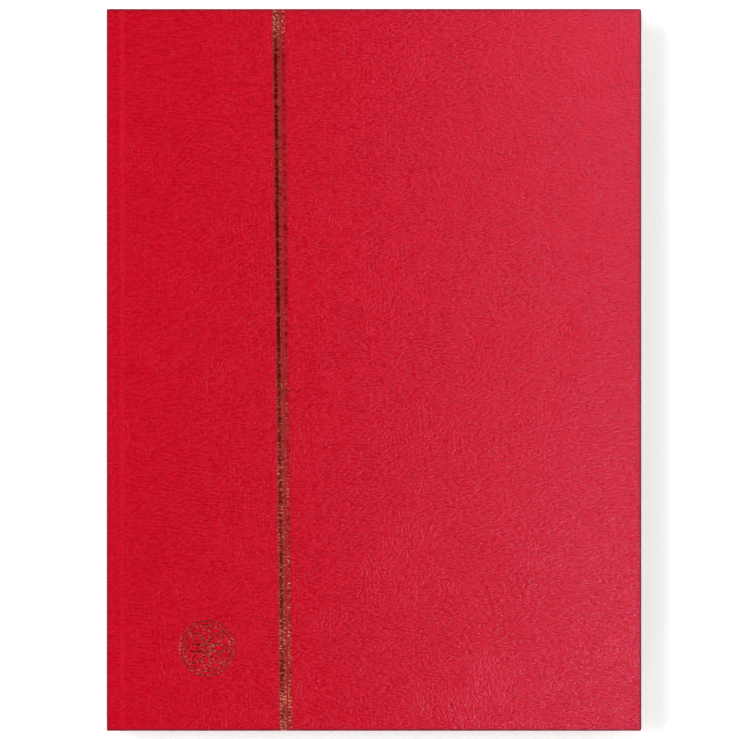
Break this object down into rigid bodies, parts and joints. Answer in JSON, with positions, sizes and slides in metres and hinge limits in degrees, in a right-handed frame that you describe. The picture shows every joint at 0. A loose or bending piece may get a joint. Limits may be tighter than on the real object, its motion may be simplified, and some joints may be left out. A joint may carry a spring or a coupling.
{
  "type": "stamp album",
  "caption": "Hard-cover stockbook for stamps: cased boards in grained red leatherette with a double gold line, sewn card leaves with clear pocket strips and glassine between them.",
  "frame": {"origin": "middle of the closed album's underside, on the back cover's outer face", "axes": "+X from the spine to the fore-edge, +Y to the head, +Z from the back cover to the front cover"},
  "size_m": [0.226, 0.305, 0.0165],
  "materials": {
    "red_leatherette": "fine wrinkled grain, satin",
    "greyboard": "matte",
    "gold_foil": "hot-stamped foil over grain",
    "endpaper": "matte",
    "black_card": "matte",
    "black_linen": "plain weave",
    "clear_film": "clear, glossy",
    "glassine": "translucent, smooth",
    "thread": "twisted",
    "mull": "open gauze"
  },
  "bodies": {
    "back_cover": {"back_board": "greyboard", "back_cover_skin": "red_leatherette", "back_pastedown": "endpaper", "back_joint_leather": "red_leatherette"},
    "spine": {"spine_board": "greyboard", "spine_skin": "red_leatherette", "spine_lining": "mull", "guard_strips": "black_card", "endpaper_sewn_margins": "endpaper", "linen_sewn_margins": "black_linen", "glassine_sewn_margins": "glassine", "sewing_thread": "thread"},
    "front_cover": {"front_board": "greyboard", "front_cover_skin": "red_leatherette", "front_pastedown": "endpaper", "front_joint_leather": "red_leatherette", "gold_line_wide": "gold_foil", "gold_line_narrow": "gold_foil"},
    "front_flyleaf": {"front_flyleaf": "endpaper"},
    "back_flyleaf": {"back_flyleaf": "endpaper"},
    "leaf_1": {"leaf_1_card": "black_card", "leaf_1_linen_hinge": "black_linen", "leaf_1_front_strips": "clear_film", "leaf_1_back_strips": "clear_film"},
    "leaf_2": {"leaf_2_card": "black_card", "leaf_2_linen_hinge": "black_linen", "leaf_2_front_strips": "clear_film", "leaf_2_back_strips": "clear_film"},
    "leaf_3": {"leaf_3_card": "black_card", "leaf_3_linen_hinge": "black_linen", "leaf_3_front_strips": "clear_film", "leaf_3_back_strips": "clear_film"},
    "leaf_4": {"leaf_4_card": "black_card", "leaf_4_linen_hinge": "black_linen", "leaf_4_front_strips": "clear_film", "leaf_4_back_strips": "clear_film"},
    "leaf_5": {"leaf_5_card": "black_card", "leaf_5_linen_hinge": "black_linen", "leaf_5_front_strips": "clear_film", "leaf_5_back_strips": "clear_film"},
    "leaf_6": {"leaf_6_card": "black_card", "leaf_6_linen_hinge": "black_linen", "leaf_6_front_strips": "clear_film", "leaf_6_back_strips": "clear_film"},
    "leaf_7": {"leaf_7_card": "black_card", "leaf_7_linen_hinge": "black_linen", "leaf_7_front_strips": "clear_film", "leaf_7_back_strips": "clear_film"},
    "leaf_8": {"leaf_8_card": "black_card", "leaf_8_linen_hinge": "black_linen", "leaf_8_front_strips": "clear_film", "leaf_8_back_strips": "clear_film"},
    "glassine_1": {"glassine_1": "glassine"},
    "glassine_2": {"glassine_2": "glassine"},
    "glassine_3": {"glassine_3": "glassine"},
    "glassine_4": {"glassine_4": "glassine"},
    "glassine_5": {"glassine_5": "glassine"},
    "glassine_6": {"glassine_6": "glassine"},
    "glassine_7": {"glassine_7": "glassine"}
  },
  "joints": [
    {"name": "spine_hinge", "type": "hinge", "parent": "back_cover", "child": "spine", "pos_m": [-0.1128, 0, 0.0012], "axis": [0, -1, 0], "range_deg": [0, 90]},
    {"name": "front_cover_hinge", "type": "hinge", "parent": "spine", "child": "front_cover", "pos_m": [-0.1128, 0, 0.01532], "axis": [0, -1, 0], "range_deg": [0, 90]},
    {"name": "front_flyleaf_hinge", "type": "hinge", "parent": "spine", "child": "front_flyleaf", "pos_m": [-0.1061, 0, 0.01358], "axis": [0, -1, 0], "range_deg": [0, 80]},
    {"name": "leaf_1_hinge", "type": "hinge", "parent": "spine", "child": "leaf_1", "pos_m": [-0.1061, 0, 0.01288], "axis": [0, -1, 0], "range_deg": [0, 75]},
    {"name": "glassine_1_hinge", "type": "hinge", "parent": "spine", "child": "glassine_1", "pos_m": [-0.1061, 0, 0.01222], "axis": [0, -1, 0], "range_deg": [0, 72]},
    {"name": "leaf_2_hinge", "type": "hinge", "parent": "spine", "child": "leaf_2", "pos_m": [-0.1061, 0, 0.01156], "axis": [0, -1, 0], "range_deg": [0, 69]},
    {"name": "glassine_2_hinge", "type": "hinge", "parent": "spine", "child": "glassine_2", "pos_m": [-0.1061, 0, 0.0109], "axis": [0, -1, 0], "range_deg": [0, 66]},
    {"name": "leaf_3_hinge", "type": "hinge", "parent": "spine", "child": "leaf_3", "pos_m": [-0.1061, 0, 0.01024], "axis": [0, -1, 0], "range_deg": [0, 63]},
    {"name": "glassine_3_hinge", "type": "hinge", "parent": "spine", "child": "glassine_3", "pos_m": [-0.1061, 0, 0.00958], "axis": [0, -1, 0], "range_deg": [0, 60]},
    {"name": "leaf_4_hinge", "type": "hinge", "parent": "spine", "child": "leaf_4", "pos_m": [-0.1061, 0, 0.00892], "axis": [0, -1, 0], "range_deg": [0, 57]},
    {"name": "glassine_4_hinge", "type": "hinge", "parent": "spine", "child": "glassine_4", "pos_m": [-0.1061, 0, 0.00826], "axis": [0, -1, 0], "range_deg": [0, 20]},
    {"name": "back_flyleaf_hinge", "type": "hinge", "parent": "spine", "child": "back_flyleaf", "pos_m": [-0.1061, 0, 0.00295], "axis": [0, 1, 0], "range_deg": [0, 80]},
    {"name": "leaf_8_hinge", "type": "hinge", "parent": "spine", "child": "leaf_8", "pos_m": [-0.1061, 0, 0.00364], "axis": [0, 1, 0], "range_deg": [0, 75]},
    {"name": "glassine_7_hinge", "type": "hinge", "parent": "spine", "child": "glassine_7", "pos_m": [-0.1061, 0, 0.0043], "axis": [0, 1, 0], "range_deg": [0, 72]},
    {"name": "leaf_7_hinge", "type": "hinge", "parent": "spine", "child": "leaf_7", "pos_m": [-0.1061, 0, 0.00496], "axis": [0, 1, 0], "range_deg": [0, 69]},
    {"name": "glassine_6_hinge", "type": "hinge", "parent": "spine", "child": "glassine_6", "pos_m": [-0.1061, 0, 0.00562], "axis": [0, 1, 0], "range_deg": [0, 66]},
    {"name": "leaf_6_hinge", "type": "hinge", "parent": "spine", "child": "leaf_6", "pos_m": [-0.1061, 0, 0.00628], "axis": [0, 1, 0], "range_deg": [0, 63]},
    {"name": "glassine_5_hinge", "type": "hinge", "parent": "spine", "child": "glassine_5", "pos_m": [-0.1061, 0, 0.00694], "axis": [0, 1, 0], "range_deg": [0, 60]},
    {"name": "leaf_5_hinge", "type": "hinge", "parent": "spine", "child": "leaf_5", "pos_m": [-0.1061, 0, 0.0076], "axis": [0, 1, 0], "range_deg": [0, 57]}
  ],
  "couplings": [
    {"joint": "front_flyleaf_hinge", "follows": "front_cover_hinge", "ratio": 0.88889},
    {"joint": "leaf_1_hinge", "follows": "front_cover_hinge", "ratio": 0.83333},
    {"joint": "glassine_1_hinge", "follows": "front_cover_hinge", "ratio": 0.8},
    {"joint": "leaf_2_hinge", "follows": "front_cover_hinge", "ratio": 0.76667},
    {"joint": "glassine_2_hinge", "follows": "front_cover_hinge", "ratio": 0.73333},
    {"joint": "leaf_3_hinge", "follows": "front_cover_hinge", "ratio": 0.7},
    {"joint": "glassine_3_hinge", "follows": "front_cover_hinge", "ratio": 0.66667},
    {"joint": "leaf_4_hinge", "follows": "front_cover_hinge", "ratio": 0.63333},
    {"joint": "glassine_4_hinge", "follows": "front_cover_hinge", "ratio": 0.22222},
    {"joint": "back_flyleaf_hinge", "follows": "spine_hinge", "ratio": 0.88889},
    {"joint": "leaf_8_hinge", "follows": "spine_hinge", "ratio": 0.83333},
    {"joint": "glassine_7_hinge", "follows": "spine_hinge", "ratio": 0.8},
    {"joint": "leaf_7_hinge", "follows": "spine_hinge", "ratio": 0.76667},
    {"joint": "glassine_6_hinge", "follows": "spine_hinge", "ratio": 0.73333},
    {"joint": "leaf_6_hinge", "follows": "spine_hinge", "ratio": 0.7},
    {"joint": "glassine_5_hinge", "follows": "spine_hinge", "ratio": 0.66667},
    {"joint": "leaf_5_hinge", "follows": "spine_hinge", "ratio": 0.63333}
  ]
}
